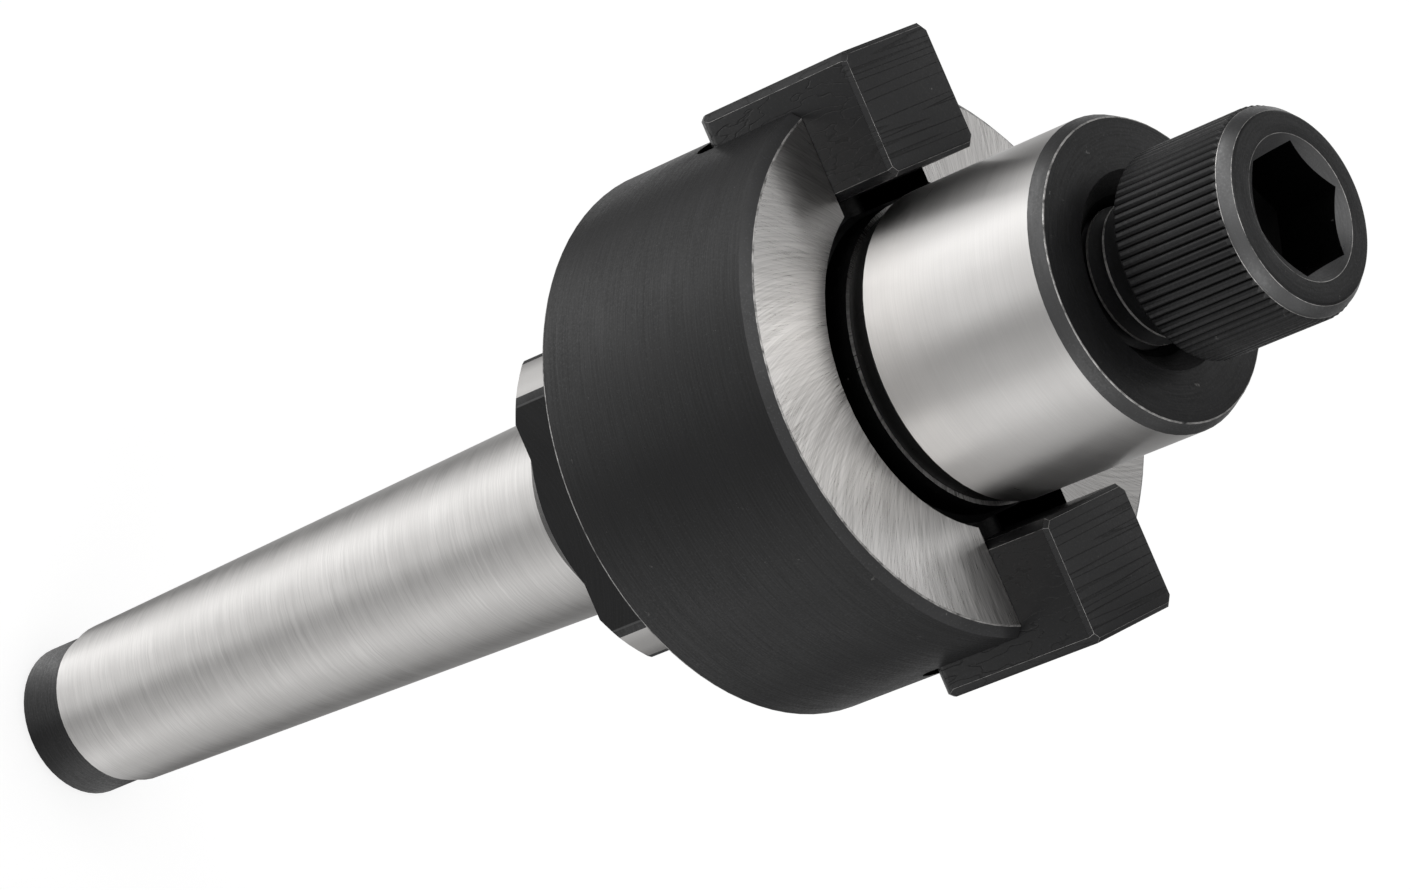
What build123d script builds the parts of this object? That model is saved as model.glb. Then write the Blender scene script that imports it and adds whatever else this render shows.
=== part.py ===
from build123d import *
from math import radians, tan
import os

# Shell mill arbor with a Morse 2 shank and a 27 mm pilot, standing on the small end of its shank.
# Origin: centre of the small end face. +Z runs along the axis towards the nose, +X through the first key.
# All sizes are millimetres and degrees.

# Morse taper shank
taper_rate = 1 / 20.020  # loss of diameter along the cone
shank_large_d = 18.0  # cone diameter where the neck begins
shank_length = 69.8  # small end face to the large end of the cone
relief_d = 14.0  # plain black end behind the cone
relief_length = 5.3
relief_edge_chamfer = 0.7  # at the rear rim
lead_in_length = 1.6  # turned lead from the plain end up to the cone

# Drawbar hole in the small end
drawbar_thread_d = 10.0
drawbar_thread_length = 24.0
drawbar_mouth_chamfer = 0.4

# Square collar for a spanner, its corners turned round, and the neck cone in front of the shank
collar_across_flats = 27.0
collar_corner_rise = 3.65  # turned corners above the flats
collar_length = 11.2
collar_rear_chamfer = 1.0
collar_edge_chamfer = 0.4  # between the flats and the turned corners
neck_angle = 45.0  # slope of the neck cone against the axis
neck_shoulder = 2.55  # from the cone's large end out to the turned corners

# Flange that the mill rests against
flange_d = 48.0
flange_width = 23.8
flange_front_chamfer = 0.8
flange_rear_chamfer = 0.3

# Pilot that centres the mill
pilot_d = 27.0
pilot_length = 22.0  # nose above the flange face
pilot_start = 2.8  # where the ground surface begins above the flange face
pilot_lead_length = 1.2
pilot_lead_depth = 0.6

# Undercut between the ground face and the pilot
undercut_width = 1.8
undercut_depth = 2.6  # below the flange face
undercut_corner = 0.5  # chamfers in the corners of its floor
undercut_wall_drop = 0.3  # inner wall below the pilot's surface
relief_drop = 0.7  # relief in front of it, below the pilot's surface
relief_step = 0.6  # where the relief begins above the flange face

# Retaining screw, M12 with a socket head
screw_d = 12.0
screw_length = 30.0  # under the head
screw_gap = 3.6  # between the head and the nose, as the screw stands partly undone
screw_clearance = 0.05  # radial, in the nose hole
screw_tip_chamfer = 1.0
screw_neck_chamfer = 0.4  # under the head
head_d = 18.0
head_height = 12.0
head_front_chamfer = 0.8
head_rear_chamfer = 0.4
head_band_length = 2.1  # plain band in front of the knurl
head_band_drop = 0.12  # how much lower the band lies than the ridges
knurl_ridges = 72
knurl_depth = 0.32
socket_across_flats = 10.0
socket_depth = 6.4
socket_mouth_rim = 1.1  # turned mouth beyond the flats
socket_mouth_angle = 120.0
socket_turn = 33.5  # corners of the hexagon against the X axis

# Nose hole for the retaining screw
nose_hole_spare = 4.0  # thread left beyond the screw's tip when the screw is tight
nose_countersink = 2.45  # width of the mouth around the hole
drill_angle = 118.0  # drilled ends of all holes

# Drive keys and their slots
key_width = 12.0
key_height = 6.3  # above the face
key_seated_length = 11.5  # behind the face
key_pilot_gap = 1.5  # from the pilot to the inner end of the key, on the floor of the slot
key_overhang = 2.0  # outer end beyond the flange
key_edge_chamfer = 0.35
key_corner_relief = 0.2  # how much more the key's rear corners are cut than the slot's are rounded
key_clearance = 0.03  # each side, in the slot
slot_end_gap = 1.0  # the slot runs this far behind the key
slot_run_in = 1.5  # and this far into the undercut
slot_corner_r = 1.8

# Screws that hold the keys, M5 with a socket head
key_screw_d = 5.0
key_screw_length = 12.0
key_screw_recess = 0.3  # top of the head below the key's outer end
key_screw_head_d = 8.5
key_screw_head_height = 5.0
key_screw_chamfer = 0.4
key_screw_socket_across_flats = 4.0
key_screw_socket_depth = 2.6
key_bore_clearance = 0.25  # radial, around the screw's shank in the key
counterbore_clearance = 0.35  # radial, around its head
key_thread_clearance = 0.03  # radial, in the arbor
key_thread_spare = 0.6  # thread left beyond the screw's tip

# Diameters that follow from the sizes above
collar_d = collar_across_flats + 2 * collar_corner_rise
neck_large_d = collar_d - 2 * neck_shoulder
undercut_inner_d = pilot_d - 2 * undercut_wall_drop
undercut_outer_d = undercut_inner_d + 2 * undercut_width
relief_groove_d = pilot_d - 2 * relief_drop
nose_hole_d = screw_d + 2 * screw_clearance
key_thread_d = key_screw_d + 2 * key_thread_clearance
band_d = head_d - 2 * head_band_drop

# Stations along the arbor's axis, from the small end
cone_start_z = relief_length + lead_in_length
neck_z = shank_length
collar_z = neck_z + (neck_large_d - shank_large_d) / 2 / tan(radians(neck_angle))
flange_z = collar_z + collar_length
face_z = flange_z + flange_width
nose_z = face_z + pilot_length
head_z = nose_z + screw_gap
head_front_z = head_z + head_height
head_band_z = head_front_z - head_band_length
nose_hole_end_z = nose_z - screw_length - nose_hole_spare
key_screw_z = face_z - key_seated_length / 2

# Stations out from the arbor's axis
key_inner_x = pilot_d / 2 + key_pilot_gap
key_outer_x = flange_d / 2 + key_overhang
slot_inner_x = undercut_outer_d / 2 - slot_run_in
key_screw_seat_x = key_outer_x - key_screw_recess - key_screw_head_height
key_thread_end_x = key_screw_seat_x - key_screw_length - key_thread_spare

# Other sizes that follow
drill_slope = tan(radians(drill_angle / 2))  # radius of a drilled end for each millimetre of its depth
cone_small_d = shank_large_d - (neck_z - cone_start_z) * taper_rate
undercut_floor_z = face_z - undercut_depth
slot_width = key_width + 2 * key_clearance
slot_depth = key_seated_length + slot_end_gap
socket_floor_z = head_front_z - socket_depth
socket_mouth_z = head_front_z - socket_mouth_rim / tan(radians(socket_mouth_angle / 2))

os.makedirs("parts", exist_ok=True)


def radial_plane(side, x):
    """Plane across the X axis at distance x, its normal pointing away from the arbor's axis."""
    return Plane(origin=(side * x, 0, 0), x_dir=(0, side, 0), z_dir=(side, 0, 0))


# Arbor body: shank, neck, collar, flange and pilot in one piece of steel
with BuildPart() as arbor_body:
    # Neck cone and collar blank, turned
    with BuildSketch(Plane.XZ):
        with BuildLine():
            Polyline(
                (0, neck_z),
                (shank_large_d / 2, neck_z),
                (neck_large_d / 2, collar_z),
                (collar_d / 2 - collar_rear_chamfer, collar_z),
                (collar_d / 2, collar_z + collar_rear_chamfer),
                (collar_d / 2, flange_z),
                (0, flange_z),
                close=True,
            )
        make_face()
    revolve(axis=Axis.Z)

    # Four spanner flats, which also run into the neck cone
    with BuildSketch(Plane.XY.offset(neck_z)) as collar_section:
        Rectangle(collar_across_flats, collar_across_flats)
        Circle(collar_d / 2, mode=Mode.INTERSECT)
        chamfer(collar_section.vertices(), length=collar_edge_chamfer)
    extrude(amount=flange_z - neck_z, mode=Mode.INTERSECT)

    # Plain end, lead and Morse cone
    with BuildSketch(Plane.XZ):
        with BuildLine():
            Polyline(
                (0, 0),
                (relief_d / 2 - relief_edge_chamfer, 0),
                (relief_d / 2, relief_edge_chamfer),
                (relief_d / 2, relief_length),
                (cone_small_d / 2, cone_start_z),
                (shank_large_d / 2, neck_z),
                (0, neck_z),
                close=True,
            )
        make_face()
    revolve(axis=Axis.Z)

    # Flange, undercut and pilot
    with BuildSketch(Plane.XZ):
        with BuildLine():
            Polyline(
                (0, flange_z),
                (flange_d / 2 - flange_rear_chamfer, flange_z),
                (flange_d / 2, flange_z + flange_rear_chamfer),
                (flange_d / 2, face_z - flange_front_chamfer),
                (flange_d / 2 - flange_front_chamfer, face_z),
                (undercut_outer_d / 2, face_z),
                (undercut_outer_d / 2, undercut_floor_z + undercut_corner),
                (undercut_outer_d / 2 - undercut_corner, undercut_floor_z),
                (undercut_inner_d / 2 + undercut_corner, undercut_floor_z),
                (undercut_inner_d / 2, undercut_floor_z + undercut_corner),
                (undercut_inner_d / 2, face_z + relief_step),
                (relief_groove_d / 2, face_z + relief_step),
                (relief_groove_d / 2, face_z + pilot_start - relief_drop),
                (pilot_d / 2, face_z + pilot_start),
                (pilot_d / 2, nose_z - pilot_lead_length),
                (pilot_d / 2 - pilot_lead_depth, nose_z),
                (0, nose_z),
                close=True,
            )
        make_face()
    revolve(axis=Axis.Z)

    # Key seats, milled in from the outside and open at the face, with the holes for their screws
    for side in (1, -1):
        with BuildSketch(radial_plane(side, slot_inner_x)) as slot:
            with Locations((0, face_z)):
                Rectangle(slot_width, 2 * slot_depth)
            fillet(slot.vertices().group_by(Axis.Y)[0], radius=slot_corner_r)
        extrude(amount=key_outer_x - slot_inner_x, mode=Mode.SUBTRACT)
        with BuildSketch(Plane.XZ):
            with BuildLine():
                Polyline(
                    (side * (key_thread_end_x - key_thread_d / 2 / drill_slope), key_screw_z),
                    (side * key_thread_end_x, key_screw_z + key_thread_d / 2),
                    (side * slot_inner_x, key_screw_z + key_thread_d / 2),
                    (side * slot_inner_x, key_screw_z),
                    close=True,
                )
            make_face()
        revolve(axis=Axis((0, 0, key_screw_z), (1, 0, 0)), mode=Mode.SUBTRACT)

    # Tapped nose hole with its countersink and drilled end
    with BuildSketch(Plane.XZ):
        with BuildLine():
            Polyline(
                (0, nose_z),
                (nose_hole_d / 2 + nose_countersink, nose_z),
                (nose_hole_d / 2, nose_z - nose_countersink),
                (nose_hole_d / 2, nose_hole_end_z),
                (0, nose_hole_end_z - nose_hole_d / 2 / drill_slope),
                close=True,
            )
        make_face()
    revolve(axis=Axis.Z, mode=Mode.SUBTRACT)

    # Drawbar hole in the small end
    with BuildSketch(Plane.XZ):
        with BuildLine():
            Polyline(
                (0, 0),
                (drawbar_thread_d / 2 + drawbar_mouth_chamfer, 0),
                (drawbar_thread_d / 2, drawbar_mouth_chamfer),
                (drawbar_thread_d / 2, drawbar_thread_length),
                (0, drawbar_thread_length + drawbar_thread_d / 2 / drill_slope),
                close=True,
            )
        make_face()
    revolve(axis=Axis.Z, mode=Mode.SUBTRACT)

arbor_body.part.label = "arbor_body"
export_step(arbor_body.part, "parts/arbor_body.step")


# Retaining screw with a straight knurl on its head
with BuildPart() as retaining_screw:
    # Ridges of the knurl, from the underside of the head to the plain band
    with BuildSketch(Plane.XY.offset(head_z)):
        Circle(head_d / 2)
        with PolarLocations(head_d / 2, knurl_ridges):
            Polygon(
                (-knurl_depth, 0),
                (knurl_depth, -2 * knurl_depth),
                (knurl_depth, 2 * knurl_depth),
                align=None,
                mode=Mode.SUBTRACT,
            )
    extrude(amount=head_band_z - head_z)

    # Turned blank that gives the knurl its chamfered rear rim
    with BuildSketch(Plane.XZ):
        with BuildLine():
            Polyline(
                (0, head_z),
                (head_d / 2 - head_rear_chamfer, head_z),
                (head_d / 2, head_z + head_rear_chamfer),
                (head_d / 2, head_band_z),
                (0, head_band_z),
                close=True,
            )
        make_face()
    revolve(axis=Axis.Z, mode=Mode.INTERSECT)

    # Plain band and front face of the head, then the shank under the head
    with BuildSketch(Plane.XZ):
        with BuildLine():
            Polyline(
                (0, head_band_z),
                (band_d / 2, head_band_z),
                (band_d / 2, head_front_z - head_front_chamfer),
                (band_d / 2 - head_front_chamfer, head_front_z),
                (0, head_front_z),
                close=True,
            )
        make_face()
        with BuildLine():
            Polyline(
                (0, head_z),
                (screw_d / 2 + screw_neck_chamfer, head_z),
                (screw_d / 2, head_z - screw_neck_chamfer),
                (screw_d / 2, head_z - screw_length + screw_tip_chamfer),
                (screw_d / 2 - screw_tip_chamfer, head_z - screw_length),
                (0, head_z - screw_length),
                close=True,
            )
        make_face()
    revolve(axis=Axis.Z)

    # Hexagon socket with a turned mouth and a drilled end
    with BuildSketch(Plane.XY.offset(socket_floor_z)):
        RegularPolygon(socket_across_flats / 2, 6, major_radius=False, rotation=socket_turn)
    extrude(amount=socket_depth, mode=Mode.SUBTRACT)
    with BuildSketch(Plane.XZ):
        with BuildLine():
            Polyline(
                (0, head_front_z),
                (socket_across_flats / 2 + socket_mouth_rim, head_front_z),
                (socket_across_flats / 2, socket_mouth_z),
                (0, socket_mouth_z),
                close=True,
            )
        make_face()
        with BuildLine():
            Polyline(
                (0, socket_floor_z),
                (socket_across_flats / 2, socket_floor_z),
                (0, socket_floor_z - socket_across_flats / 2 / drill_slope),
                close=True,
            )
        make_face()
    revolve(axis=Axis.Z, mode=Mode.SUBTRACT)

retaining_screw.part.label = "retaining_screw"
export_step(retaining_screw.part, "parts/retaining_screw.step")


# Two drive keys and the screws that hold them down in their slots
for name, side in (("a", 1), ("b", -1)):
    with BuildPart() as drive_key:
        with BuildSketch(radial_plane(side, key_inner_x)) as key_section:
            with Locations((0, face_z + (key_height - key_seated_length) / 2)):
                Rectangle(key_width, key_height + key_seated_length)
            chamfer(key_section.vertices().group_by(Axis.Y)[0], length=slot_corner_r + key_corner_relief)
        extrude(amount=key_outer_x - key_inner_x)
        chamfer(drive_key.edges(), length=key_edge_chamfer)
        with Locations(radial_plane(side, key_outer_x) * Location((0, key_screw_z, 0))):
            CounterBoreHole(
                radius=key_screw_d / 2 + key_bore_clearance,
                counter_bore_radius=key_screw_head_d / 2 + counterbore_clearance,
                counter_bore_depth=key_outer_x - key_screw_seat_x,
            )

    drive_key.part.label = f"drive_key_{name}"
    export_step(drive_key.part, f"parts/drive_key_{name}.step")

    with BuildPart() as key_screw:
        seat = Plane(radial_plane(side, key_screw_seat_x) * Location((0, key_screw_z, 0)))
        with BuildSketch(seat):
            Circle(key_screw_head_d / 2)
        extrude(amount=key_screw_head_height)
        front = seat.offset(key_screw_head_height)
        head_rims = key_screw.edges().filter_by(GeomType.CIRCLE).sort_by_distance(front.origin)
        chamfer(head_rims[0], length=key_screw_chamfer)
        with BuildSketch(seat):
            Circle(key_screw_d / 2)
        extrude(amount=-key_screw_length)
        with BuildSketch(front):
            RegularPolygon(key_screw_socket_across_flats / 2, 6, major_radius=False)
        extrude(amount=-key_screw_socket_depth, mode=Mode.SUBTRACT)

    key_screw.part.label = f"key_screw_{name}"
    export_step(key_screw.part, f"parts/key_screw_{name}.step")
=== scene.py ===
from contextlib import contextmanager
from math import ceil, hypot, pi, radians, sqrt, tan

import bmesh
import bpy
from bpy.props import FloatProperty, FloatVectorProperty, IntProperty, PointerProperty
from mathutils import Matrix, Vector


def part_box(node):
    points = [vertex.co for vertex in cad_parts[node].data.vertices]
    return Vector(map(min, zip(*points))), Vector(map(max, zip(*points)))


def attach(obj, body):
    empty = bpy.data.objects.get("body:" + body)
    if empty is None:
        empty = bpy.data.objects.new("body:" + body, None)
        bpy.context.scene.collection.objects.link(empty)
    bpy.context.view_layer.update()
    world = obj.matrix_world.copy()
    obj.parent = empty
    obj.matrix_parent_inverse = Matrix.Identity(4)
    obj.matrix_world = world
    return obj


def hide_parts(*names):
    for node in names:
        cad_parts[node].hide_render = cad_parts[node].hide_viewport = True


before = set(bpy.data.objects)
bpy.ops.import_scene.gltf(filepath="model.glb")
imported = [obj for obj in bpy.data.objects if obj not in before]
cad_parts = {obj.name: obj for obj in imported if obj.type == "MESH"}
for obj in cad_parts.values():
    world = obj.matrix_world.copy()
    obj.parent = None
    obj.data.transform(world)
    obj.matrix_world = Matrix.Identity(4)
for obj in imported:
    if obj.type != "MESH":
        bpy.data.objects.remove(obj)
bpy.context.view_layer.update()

bl_info = {
    "name": "Shell Mill Arbor",
    "version": (1, 0, 0),
    "blender": (4, 5, 0),
    "location": "3D View > Sidebar > Arbor",
    "description": "Finishes of a shell mill arbor: ground and blackened steel, knurl and threads",
    "category": "Object",
}

MM = 0.001

# Distances: from a named height, from a named radius, and clear of a named piece
NEAR = 0.01 * MM
REACH = 0.2 * MM
CLEAR = 1.0 * MM

# How far a drive key's worn edges, pale partly as a painted highlight, lie from its front and its
# sides, at most
KEY_BORDER = 1.5 * MM

# Direction cosines: straight along a direction, nearly so, and hardly at all
SQUARE = 0.99
STRAIGHT = 0.9
ACROSS = 0.1

# Bends: less is one flat face, more is a crease
FLAT = radians(0.1)
CREASE = radians(25)

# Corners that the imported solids' boxes give, in metres
_, BODY_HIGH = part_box("arbor_body")
SCREW_LOW, SCREW_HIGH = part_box("retaining_screw")
KEY_LOW, KEY_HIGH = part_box("drive_key_a")


def length(name, description, default):
    """Property for a length of one of the settings groups."""
    return FloatProperty(name=name, description=description, default=default, unit="LENGTH")


class SteelSettings(bpy.types.PropertyGroup):
    ground: FloatVectorProperty(
        name="Ground Steel",
        description="Colour of the ground surfaces",
        default=(0.64, 0.628, 0.616),
        subtype="COLOR",
    )
    blackened: FloatVectorProperty(
        name="Blackened Steel",
        description="Colour of the blackened surfaces",
        default=(0.008, 0.008, 0.0085),
        subtype="COLOR",
    )
    # Painted shade: a colour far darker than the blackened steel, for the recesses, slots and
    # socket where shade falls
    deep: FloatVectorProperty(
        name="Painted Recess Shade",
        description="Colour of the blackened recesses, painted dark as the shade that falls in them",
        default=(0.0008, 0.0008, 0.0008),
        subtype="COLOR",
    )
    # Pale metallic colour of the edges and the thread's crests: partly wear of the blackening,
    # partly a painted highlight of the edges
    rubbed_highlight: FloatVectorProperty(
        name="Rubbed Edge Highlight",
        description="Colour of the edges where the blackening has worn thin",
        default=(0.45, 0.44, 0.43),
        subtype="COLOR",
    )


class BodySettings(bpy.types.PropertyGroup):
    plain_end: length("Plain End", "Length of the blackened end behind the cone", 5.3 * MM)
    cone_end: length("Cone End", "Height of the large end of the cone", 69.8 * MM)
    flange_rear: length("Flange Rear", "Height of the flange's rear face", 86.6 * MM)
    face: length("Flange Face", "Height of the ground face of the flange", 110.4 * MM)
    flange_radius: length("Flange Radius", "Radius of the flange", BODY_HIGH.x)
    pilot_radius: length("Pilot Radius", "Radius of the ground pilot", 13.5 * MM)
    pilot_start: length("Pilot Start", "Start of the ground pilot above the face", 2.8 * MM)
    pilot_lead: length("Pilot Lead", "Length of the pilot's blackened lead chamfer", 1.2 * MM)
    groove_radius: length("Groove Radius", "Outer radius of the pilot's undercut", 15.0 * MM)
    groove_step: length("Groove Step", "Height of the undercut's step above the face", 0.6 * MM)
    collar_radius: length("Collar Radius", "Radius of the square collar's corners", 17.15 * MM)
    rim_line: length("Rim Line", "Width of the rubbed lines on the body", 0.09 * MM)


class ScrewSettings(bpy.types.PropertyGroup):
    radius: length("Thread Radius", "Radius over the crests of the screw's thread", 6.0 * MM)
    pitch: length("Pitch", "Advance of the thread for each turn", 1.75 * MM)
    # A hair less than in the solids, which keeps the head clear of the nose at the stop
    head_height: length("Head Height", "Height of the screw's head", 11.98 * MM)
    ridges: IntProperty(
        name="Ridges",
        description="Ridges of the knurl around the head",
        default=72,
        min=12,
    )
    ridge_depth: length("Ridge Depth", "Depth of the grooves between the ridges", 0.32 * MM)
    across_flats: length("Across Flats", "Width of the hexagon socket", 10.0 * MM)
    socket_depth: length("Socket Depth", "Depth of the hexagon socket", 6.4 * MM)
    socket_turn: FloatProperty(
        name="Socket Turn",
        description="Angle of the hexagon's corners against the X axis",
        default=radians(33.5),
        subtype="ANGLE",
    )
    mouth_rim: length("Mouth Rim", "Width of the turned mouth beyond the flats", 1.1 * MM)
    columns: IntProperty(
        name="Columns",
        description="Faces around the screw, a multiple of its ridges",
        default=432,
        min=72,
    )


class KeySettings(bpy.types.PropertyGroup):
    corner_cut: length("Corner Cut", "Chamfer of the long edges of a drive key", 0.75 * MM)
    front_cut: length("Front Cut", "Chamfer around the front face of a drive key", 0.35 * MM)
    worn_edge: length("Worn Edge", "Width of the rubbed line along the edges", 0.2 * MM)


class StudioSettings(bpy.types.PropertyGroup):
    camera_place: FloatVectorProperty(
        name="Camera Place",
        description="Where the camera stands",
        default=(0.007062, 0.470082, 0.479345),
        subtype="TRANSLATION",
        unit="LENGTH",
    )
    camera_turn: FloatVectorProperty(
        name="Camera Turn",
        description="Turn of the camera, as Euler angles",
        default=(0.431447, -0.780647, -2.163027),
        subtype="EULER",
    )
    camera_lens: FloatProperty(
        name="Lens",
        description="Focal length on a sensor 36 mm wide, in millimetres",
        default=186.406,
        min=10.0,
    )
    floor_size: length("Floor Size", "Length of the floor's sides", 8.0)
    floor_glow: FloatProperty(
        name="Floor Glow",
        description="How bright the floor looks to the camera without the lamps' light on it",
        default=0.82,
        min=0.0,
    )
    floor_matt: FloatProperty(
        name="Floor Matt",
        description="How much of the lamps' light the floor gives back, which carries the shadow",
        default=0.3,
        min=0.0,
    )
    world_level: FloatProperty(
        name="World Level",
        description="Strength of the even light from the world",
        default=0.5,
        min=0.0,
    )
    mirrored_share: FloatProperty(
        name="Mirrored Share",
        description="How bright the room's bands are in reflections",
        default=1.0,
        min=0.0,
    )


# How bright the studio looks in reflections, by degrees around from the X axis: light cards and
# the gaps between them, on the floor and in the room above it
FLOOR_LEVELS = (
    (0, 0.9), (20, 1.55), (34, 1.3), (50, 0.98), (66, 0.9), (88, 0.42), (108, 0.6), (137, 0.95),
    (165, 0.65), (205, 0.15), (235, 0.35), (268, 0.85), (300, 0.65), (333, 0.12), (346, 0.6),
    (359, 0.85),
)
ROOM_LEVELS = (
    (0, 1.15), (14, 1.8), (26, 2.4), (42, 2.5), (62, 1.6), (80, 1.1), (96, 0.9), (137, 0.72),
    (159, 0.8), (182, 0.95), (205, 0.7), (225, 0.15), (250, 0.15), (269, 0.65), (295, 0.5),
    (320, 0.1), (340, 0.3), (359, 1.1),
)

# Soft lamps: name, place, sides and power, all aimed at one point of the axis
LAMPS = (
    ("key_light", (0.9, 0.16, 0.2), (0.5, 0.4), 1.7),
    ("fill_light", (-0.6, 0.6, 0.4), (0.6, 0.6), 1.6),
    ("top_light", (0.05, -0.33, 0.95), (0.7, 0.5), 0.95),
)
LAMP_AIM = (0.0, 0.0, 0.08)

# Colours against the faces beside them: blackened chamfers made paler, a painted highlight, and the
# collar's ground corners made darker, a painted shade
PAINTED_HIGHLIGHT = 1.6
PAINTED_CORNER_SHADE = 0.75

# Scratches on the flange's face: their turn against the radial direction in reflections, the length
# of each set, how far out its slant adds up, and the level, width and shade of the thin dark lines
GRAIN_SLANT = radians(-28)
SCRATCHES = (("Slant", 8 * MM), ("Second Slant", 5 * MM))
SLANT_REACH = 10 * MM
LINE_LEVEL, LINE_WIDTH, LINE_SHADE = 0.42, 0.03, 0.6

# Clouds and specks of ground and of blackened steel, and the depths of the marks' relief
GROUND_SPOTS = {"Cloud Size": 7 * MM, "Speck Size": 0.3 * MM}
BLACK_SPOTS = {"Cloud Size": 5 * MM, "Speck Size": 0.18 * MM}
GROUND_RELIEF, BLACK_RELIEF, MILLED_RELIEF = 0.02 * MM, 0.03 * MM, 0.07 * MM

# Furrows on the drive keys, for each metre across, along and through them, and their turn
FURROWS = (1050.0, 22.0, 300.0)
FURROW_TURN = (0.0, 0.0, radians(-12))

# Finishes of the body's material slots
BODY_SLOTS = ["black", "ground", "corner", "pilot", "face", "edge", "rim", "mouth", "deep", "worn"]

# Kinds of the sockets that hold a number
NUMBER_KINDS = {int: "Int", float: "Float"}

# Part of a noise's range that nearly all of its values lie in
NOISE_LOW, NOISE_HIGH = 0.3, 0.7

# Screw: depth of its thread and the thread's distance from the head, as shares of the pitch, the
# power that narrows the knurl's grooves, half the angle of the socket's mouth, and the depth of the
# socket's drilled end
THREAD_DEPTH = 0.6134
THREAD_GAP = 0.5
GROOVE_POWER = 1.5
MOUTH_SLOPE = radians(60)
DRILLED_END = 1.2 * MM

# Rows of one turn of the thread: share of the pitch, share of the thread's depth, and zone
THREAD_FORM = (
    (0.0, 1.0, "crest"),
    (0.125, 1.0, "thread"),
    (0.4375, 0.0, "thread"),
    (0.6875, 0.0, "thread"),
)

# Rows of the screw's neck, its head and the lip of its socket: millimetres beyond a radius,
# millimetres above a height, and zone
NECK_FORM = ((0.0, -0.35, "neck"), (0.1, -0.1, "neck"), (0.35, 0.0, "neck"))
REAR_FORM = ((-0.4, 0.0, "knurl"), (-0.15, 0.15, "knurl"), (0.0, 0.4, "knurl"))
FRONT_FORM = (
    (0.0, -1.5, "knurl"),
    (-0.12, -1.3, "knurl"),
    (-0.2, -1.2, "crest"),
    (-0.215, -1.14, "mouth"),
    (-0.3, -0.88, "mouth"),
    (-0.87, -0.165, "crest"),
    (-0.9, -0.13, "plain"),
    (-1.0, -0.04, "plain"),
    (-1.12, 0.0, "plain"),
)
LIP_FORM = ((0.1, 0.0, "crest"), (0.05, -0.015, "mouth"), (0.0, -0.05, "mouth"))
SCREW_ZONES = ("thread", "crest", "neck", "plain", "knurl", "mouth", "socket")

# Shader and geometry trees


def fill(tree, node, inputs):
    """Fill a node's inputs with plain values, or link them to other nodes' outputs."""
    for name, value in inputs.items():
        if isinstance(value, bpy.types.NodeSocket):
            tree.links.new(value, node.inputs[name])
        else:
            node.inputs[name].default_value = value


def add(tree, kind, inputs=None, **settings):
    """Add a node, apply its settings and fill its inputs."""
    made = tree.nodes.new(kind)
    for name, value in settings.items():
        setattr(made, name, value)
    fill(tree, made, inputs or {})
    return made


def calc(tree, operation, *values):
    """Math node in a shader or geometry tree; returns its output."""
    return add(tree, "ShaderNodeMath", dict(enumerate(values)), operation=operation).outputs[0]


def scaled(tree, value, low, high, to_low=0.0, to_high=1.0):
    """Map a value from one range to another, clamped; returns the output."""
    inputs = {"Value": value, "From Min": low, "From Max": high}
    inputs |= {"To Min": to_low, "To Max": to_high}
    return add(tree, "ShaderNodeMapRange", inputs).outputs["Result"]


def spread(tree, noise, to_low=0.0, to_high=1.0):
    """Map a noise to another range; returns the output."""
    return scaled(tree, noise, NOISE_LOW, NOISE_HIGH, to_low, to_high)


def blend(tree, factor, a, b):
    """Mix two colours; returns the output."""
    return add(tree, "ShaderNodeMix", {0: factor, 6: a, 7: b}, data_type="RGBA").outputs[2]


def noise_of(tree, place, scale=1.0, detail=2.0, roughness=0.5):
    """Noise texture; returns its value."""
    inputs = {"Vector": place, "Scale": scale, "Detail": detail, "Roughness": roughness}
    return add(tree, "ShaderNodeTexNoise", inputs).outputs[0]


def object_place(tree):
    """Place of a surface point in the object's own frame."""
    return add(tree, "ShaderNodeTexCoord").outputs["Object"]


def axis_place(tree):
    """Place of a surface point about the Z axis: x, y, z and the distance from the axis."""
    x, y, z = add(tree, "ShaderNodeSeparateXYZ", {0: object_place(tree)}).outputs
    squares = calc(tree, "ADD", calc(tree, "MULTIPLY", x, x), calc(tree, "MULTIPLY", y, y))
    return x, y, z, calc(tree, "SQRT", squares)


def new_group(name, tree_kind, inputs, outputs):
    """Empty node group; returns the tree, what it is given and where its results go.

    Each socket is named with its default, or with its kind alone.
    """
    tree = bpy.data.node_groups.new(name, tree_kind)
    for in_out, sockets in (("INPUT", inputs), ("OUTPUT", outputs)):
        for label, what in sockets.items():
            kind = f"NodeSocket{NUMBER_KINDS.get(type(what), what)}"
            socket = tree.interface.new_socket(name=label, in_out=in_out, socket_type=kind)
            if type(what) in NUMBER_KINDS:
                socket.default_value = what
    return tree, tree.nodes.new("NodeGroupInput").outputs, tree.nodes.new("NodeGroupOutput").inputs


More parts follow.
